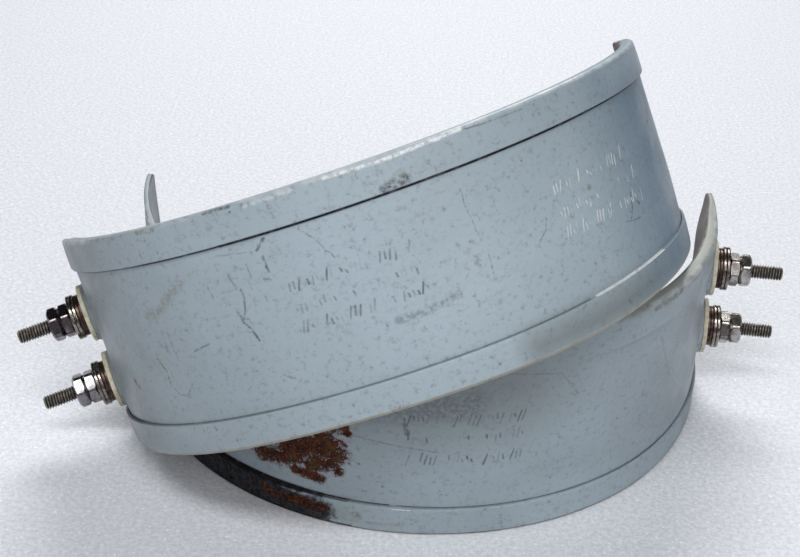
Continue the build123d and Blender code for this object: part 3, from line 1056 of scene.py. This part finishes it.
def mica_disc_material():
    """Cream mica washer: flaky layers on its edge, darker towards the middle."""
    g = Graph("cream_mica_disc")
    place = g.layer("surface_mm")
    reach = g.parts(g.layer("section_mm"))[0]
    spots = g.noise(g.object_mm(), 2.5, 4, 0.65)
    flakes = g.noise(g.scaled(place, (0.12, 3.0, 1.0)), 1.0, 3, 0.6)
    colour = g.mix(g.step(spots, 0.35, 0.7), (0.74, 0.7, 0.57, 1), (0.52, 0.45, 0.28, 1))
    colour = g.mix(g.step(flakes, 0.5, 0.7, 0, 0.5), colour, (0.4, 0.35, 0.25, 1))
    darkened = g.times(g.step(reach, 7.6, 5.6), g.step(spots, 0.3, 0.6, 0.4, 1.0))
    colour = g.mix(darkened, colour, (0.12, 0.075, 0.045, 1))
    g.bump(g.math("ADD", flakes, g.times(spots, 0.5)), 0.08, 0.7)
    return g.finish(colour, g.step(flakes, 0.3, 0.7, 0.5, 0.75))


def blotched_material(name, first, second, size, roughness, metallic=0.0):
    """Two tones in blotches, with a fine grain, for the pieces that hardly show."""
    g = Graph(name)
    place = g.object_mm()
    blotches = g.noise(place, size, 4, 0.6)
    colour = g.mix(g.step(blotches, 0.35, 0.65), first, second)
    g.bump(g.noise(place, size / 5, 3, 0.6), 0.03, 0.6)
    return g.finish(colour, g.step(blotches, 0.3, 0.7, roughness - 0.08, roughness + 0.1), metallic)


SHELL_PAINT = {half: paint_material(half + "_worn_paint", WEAR[half]) for half in HALVES}
NICKEL = nickel_material("tarnished_nickel", (0.4, 0.37, 0.33, 1), (0.16, 0.13, 0.12, 1), 0.5)
# Nut nickels: copies of one tarnished nickel, the darker one as painted shade on the upper a nuts and the lighter
# ones as painted light on the others
SHADED_NICKEL = nickel_material("blackened_nickel", (0.24, 0.21, 0.22, 1), (0.1, 0.08, 0.09, 1), 0.5)
LIT_NICKEL = nickel_material("bright_nickel", (0.3, 0.29, 0.3, 1), (0.13, 0.12, 0.13, 1), 0.6)
LIT_GREY_NICKEL = nickel_material("greyed_nickel", (0.45, 0.43, 0.41, 1), (0.22, 0.2, 0.19, 1), 0.5)
NUT_NICKEL = {
    ("upper", "a"): SHADED_NICKEL,
    ("upper", "b"): LIT_NICKEL,
    ("lower", "a"): LIT_GREY_NICKEL,
    ("lower", "b"): LIT_GREY_NICKEL,
}
THREAD = thread_material()
MICA_DISC = mica_disc_material()
BROWN = blotched_material("heat_tinted_steel", (0.15, 0.1, 0.075, 1), (0.05, 0.03, 0.035, 1), 1.6, 0.35, 0.9)
MICA = blotched_material("pressed_mica", (0.62, 0.56, 0.42, 1), (0.4, 0.34, 0.24, 1), 3.0, 0.65)
RIBBON = blotched_material("oxidised_ribbon", (0.25, 0.23, 0.2, 1), (0.1, 0.09, 0.09, 1), 2.0, 0.4, 1.0)
CERAMIC = blotched_material("glazed_ceramic", (0.78, 0.75, 0.68, 1), (0.66, 0.62, 0.54, 1), 2.5, 0.35)
SLOT_MATERIALS = {
    "plated_steel": NICKEL,
    "mica_washer": MICA_DISC,
    "mica_sheet": MICA,
    "ceramic_bushing": CERAMIC,
    "brown_washer": BROWN,
    "resistance_alloy": RIBBON,
}
NODE_SLOTS = {entry["node"]: entry["material_slot"] for entry in record["subparts"]}


def finish_for(half, node, letter, slot_name):
    """The material of one piece: the shells and the threads have their own."""
    if slot_name == "painted_steel":
        return SHELL_PAINT[half]
    if node == "stud":
        return THREAD
    if node in ("inner_nut", "outer_nut"):
        return NUT_NICKEL[half, letter]
    return SLOT_MATERIALS[slot_name]


for key, piece in pieces.items():
    half, node, letter = (*key, "")[:3]
    slot_name = NODE_SLOTS["_".join(key)]
    piece.data.materials.append(finish_for(half, node, letter, slot_name))
for node, part in frame["nodes"].items():
    half, _, short_name = node.partition("_")
    plain_finish = finish_for(half, short_name[:-2], short_name[-1], NODE_SLOTS[node])
    for k in range(len(part.material_slots)):
        part.material_slots[k].link = "OBJECT"
        part.material_slots[k].material = plain_finish


# ---- floor, lights, camera ----
def make_floor():
    size = 2.5
    corners = [(-size, -size, 0), (size, -size, 0), (size, size, 0), (-size, size, 0)]
    mesh = bpy.data.meshes.new("floor")
    mesh.from_pydata(corners, [], [(0, 1, 2, 3)])
    floor = add_object("floor", mesh)
    floor.data.materials.append(floor_material())


def floor_material():
    """Pale packing foam: soft grain with bright specks."""
    g = Graph("pale_floor")
    place = g.object_mm()
    grain = g.noise(place, 1.3, 3, 0.65)
    colour = g.mix(g.step(grain, 0.32, 0.66), (0.71, 0.735, 0.785, 1), (0.86, 0.88, 0.935, 1))
    colour = g.mix(g.step(g.noise(place, 1.2, 1), 0.64, 0.72), colour, (1, 1, 1, 1))
    g.bump(grain, 0.35, 0.8)
    return g.finish(colour, 0.6)


def make_light(name, place, size, power):
    """A rectangular lamp that points at the middle of the two halves."""
    data = bpy.data.lights.new(name, "AREA")
    data.shape = "RECTANGLE"
    data.size, data.size_y = size
    data.energy = power
    light = add_object(name, data)
    light.location = place
    towards = Vector((0, -0.03, 0.04)) - Vector(place)
    light.rotation_euler = towards.to_track_quat("-Z", "Y").to_euler()


def make_camera():
    """The camera stands in front of the lower half, above it and looking down."""
    distance, height = 0.3901, 0.2611
    yaw, pitch, roll = (math.radians(angle) for angle in (-1.085, 30.76, 2.293))
    ahead = Vector((math.sin(yaw), math.cos(yaw), 0)) * math.cos(pitch)
    forward = ahead - Vector((0, 0, math.sin(pitch)))
    level = Vector((math.cos(yaw), -math.sin(yaw), 0))
    above = level.cross(forward)
    right = level * math.cos(roll) + above * math.sin(roll)
    up = above * math.cos(roll) - level * math.sin(roll)
    data = bpy.data.cameras.new("camera")
    data.sensor_width = 36
    data.lens = 67.39
    data.clip_start, data.clip_end = 0.01, 20
    camera = add_object("camera", data)
    matrix = Matrix((right, up, -forward)).transposed().to_4x4()
    matrix.translation = (0, -distance, height)
    camera.matrix_world = matrix
    bpy.context.scene.camera = camera


def make_world():
    world = bpy.data.worlds.new("studio")
    world.use_nodes = True
    background = world.node_tree.nodes["Background"]
    background.inputs["Color"].default_value = (0.92, 0.94, 1, 1)
    background.inputs["Strength"].default_value = 0.02
    bpy.context.scene.world = world


make_floor()
make_light("back_softbox", (0, 0.9, 0.9), (0.6, 0.6), 11.2)
make_light("ceiling_tube", (-0.08, -0.62, 1.1), (0.85, 0.22), 7.0)
make_light("left_fill", (-0.45, -0.95, 0.7), (0.6, 0.6), 2.0)
make_light("right_fill", (0.45, -0.95, 0.7), (0.6, 0.6), 3.2)
make_world()
bpy.context.scene.view_settings.view_transform = "Standard"
make_camera()
